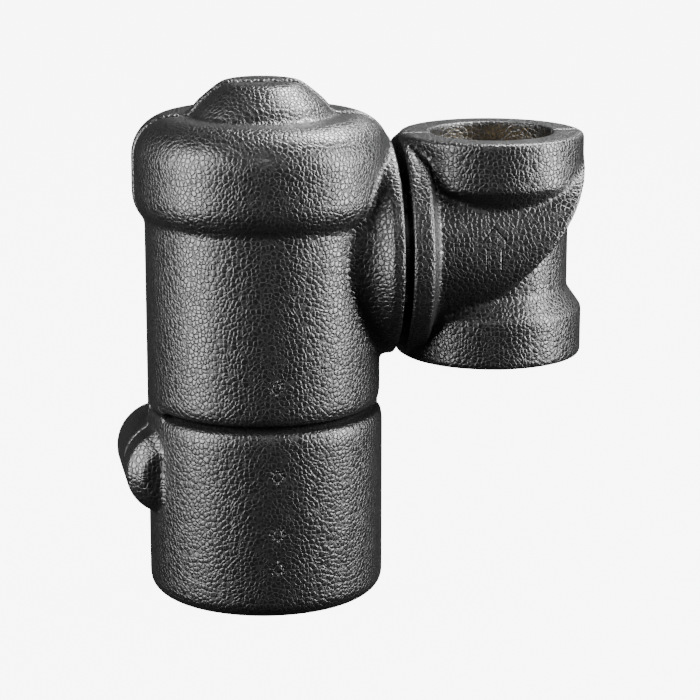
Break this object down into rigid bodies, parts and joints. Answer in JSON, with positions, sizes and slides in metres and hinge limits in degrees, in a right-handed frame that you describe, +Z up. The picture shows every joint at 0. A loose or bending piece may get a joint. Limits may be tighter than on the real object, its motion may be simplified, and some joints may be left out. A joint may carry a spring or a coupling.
{
  "type": "magnetic dirt separator",
  "caption": "Upright magnetic dirt separator for pipes in moulded foam insulation shells, with a swivelling pipe tee, removable magnet belt and drain cock.",
  "frame": {"origin": "centre of the bounding box at the height of the base", "axes": "+Z up along the canister, +X from the canister towards the pipe tee, -Y towards the removable lower front cover"},
  "size_m": [0.2162, 0.119, 0.2394],
  "materials": {
    "foam": "moulded bead foam, satin, pebbled",
    "polymer": "glass-filled technopolymer, satin",
    "strainer": "perforated polymer sleeve",
    "brass": "hot-pressed and turned brass",
    "steel": "spring steel",
    "magnet": "nickel-plated sintered magnet",
    "knob": "moulded red polymer",
    "rubber": "EPDM"
  },
  "bodies": {
    "tee": {"tee_fitting": "brass", "flow_divider": "polymer", "branch_seal": "rubber", "split_ring": "steel"},
    "separator": {"canister": "polymer", "lid_seal": "rubber", "strainer_support": "polymer", "strainer": "strainer", "strainer_cap": "polymer", "drain_cock": "brass", "drain_washer": "rubber", "drain_stem_seal": "rubber"},
    "lid": {"lid": "polymer", "top_plug_seal": "rubber"},
    "top_plug": {"top_plug": "brass"},
    "lock_nut": {"lock_nut": "polymer"},
    "rear_shell": {"rear_shell": "foam"},
    "front_shell": {"front_shell": "foam"},
    "lower_front_cover": {"lower_front_cover": "foam"},
    "magnet_belt": {"magnet_carrier": "polymer", "magnet_1": "magnet", "magnet_2": "magnet", "magnet_3": "magnet", "magnet_4": "magnet"},
    "tee_shell_front": {"tee_shell_front": "foam"},
    "tee_shell_rear": {"tee_shell_rear": "foam"},
    "drain_knob": {"drain_knob": "knob"},
    "drain_plunger": {"drain_plunger": "brass", "drain_plunger_seal": "rubber"},
    "drain_cap": {"drain_cap": "polymer", "drain_cap_seal": "rubber"}
  },
  "joints": [
    {"name": "tee_swivel", "type": "hinge", "parent": "tee", "child": "separator", "pos_m": [0.02, 0, 0.162], "axis": [1, 0, 0], "continuous": true},
    {"name": "lock_nut_turn", "type": "hinge", "parent": "separator", "child": "lock_nut", "pos_m": [0.02, 0, 0.162], "axis": [1, 0, 0], "range_deg": [0, 360]},
    {"name": "rear_shell_off", "type": "slide", "parent": "separator", "child": "rear_shell", "axis": [0, 1, 0], "range_m": [0, 0.07]},
    {"name": "front_shell_off", "type": "slide", "parent": "separator", "child": "front_shell", "axis": [0, -1, 0], "range_m": [0, 0.07]},
    {"name": "lower_cover_off", "type": "slide", "parent": "separator", "child": "lower_front_cover", "axis": [0, -1, 0], "range_m": [0, 0.06]},
    {"name": "magnet_belt_off", "type": "slide", "parent": "separator", "child": "magnet_belt", "axis": [0, -1, 0], "range_m": [0, 0.06]},
    {"name": "lid_turn", "type": "hinge", "parent": "separator", "child": "lid", "pos_m": [-0.04105, 0, 0.2], "axis": [0, 0, 1], "range_deg": [0, 360]},
    {"name": "top_plug_turn", "type": "hinge", "parent": "lid", "child": "top_plug", "pos_m": [-0.04105, 0, 0.215], "axis": [0, 0, 1], "range_deg": [0, 720]},
    {"name": "drain_knob_turn", "type": "hinge", "parent": "separator", "child": "drain_knob", "pos_m": [-0.08665, -0.012, 0.061], "axis": [0, -1, 0], "range_deg": [0, 480]},
    {"name": "drain_plunger_lift", "type": "slide", "parent": "separator", "child": "drain_plunger", "axis": [0, -1, 0], "range_m": [0, 0.002]},
    {"name": "drain_cap_off", "type": "slide", "parent": "separator", "child": "drain_cap", "axis": [0, 1, 0], "range_m": [0, 0.03]},
    {"name": "tee_shell_front_off", "type": "slide", "parent": "tee", "child": "tee_shell_front", "axis": [0, -1, 0], "range_m": [0, 0.06]},
    {"name": "tee_shell_rear_off", "type": "slide", "parent": "tee", "child": "tee_shell_rear", "axis": [0, 1, 0], "range_m": [0, 0.06]}
  ],
  "couplings": [
    {"joint": "magnet_belt_off", "follows": "lower_cover_off", "ratio": 1},
    {"joint": "drain_plunger_lift", "follows": "drain_knob_turn", "m_per_rad": 0.00023873}
  ]
}
